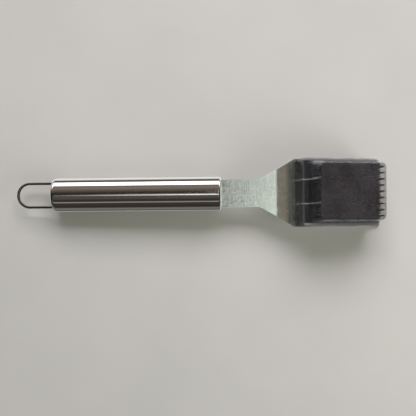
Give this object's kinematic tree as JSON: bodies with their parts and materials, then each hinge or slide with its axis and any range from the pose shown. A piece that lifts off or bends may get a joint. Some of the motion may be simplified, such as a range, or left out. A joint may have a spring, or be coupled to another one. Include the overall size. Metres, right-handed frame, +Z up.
{
  "type": "grill cleaning brush",
  "caption": "Grill cleaning brush with a polished steel tube handle, wire hanging loop, bent flared sheet neck, black bristle block and a clear lift-off bristle guard.",
  "frame": {"origin": "on the surface the brush lies on, under the middle of its overall length and width, bristles up", "axes": "+X runs from the hanging loop to the head, +Z up, +Y to the left of a viewer looking along +X; XZ is the mirror plane. The neck rises 2.7 degrees and the base plate dips 13.8 degrees."},
  "size_m": [0.2786, 0.0512, 0.0481],
  "materials": {
    "polished_steel": "polished stainless steel with very fine lengthwise lines",
    "bright_wire": "bright drawn stainless wire",
    "zinc_sheet": "dull zinc-coated sheet with a faint mottle",
    "insert_plastic": "natural moulded nylon",
    "block_plastic": "black moulded plastic, semi-gloss",
    "bristle": "black stiff bristle",
    "clear_film": "clear thermoformed sheet, creased"
  },
  "bodies": {
    "brush": {"handle_tube": "polished_steel", "rear_end_cap": "polished_steel", "front_end_cap": "polished_steel", "hanging_loop": "bright_wire", "loop_stop_rings": "bright_wire", "tang_insert_upper": "insert_plastic", "tang_insert_lower": "insert_plastic", "tang_pins": "bright_wire", "neck_plate": "zinc_sheet", "brush_block": "block_plastic", "block_screws": "bright_wire", "tuft_anchors": "bright_wire", "tuft_row_1": "bristle", "tuft_row_2": "bristle", "tuft_row_3": "bristle", "tuft_row_4": "bristle", "tuft_row_5": "bristle", "tuft_row_6": "bristle", "tuft_row_7": "bristle", "tuft_row_8": "bristle", "tuft_row_9": "bristle"},
    "guard": {"bristle_guard": "clear_film"}
  },
  "joints": [
    {"name": "guard_lift_off", "type": "slide", "parent": "brush", "child": "guard", "axis": [0.2381, 0, 0.9712], "range_m": [0, 0.04]}
  ]
}
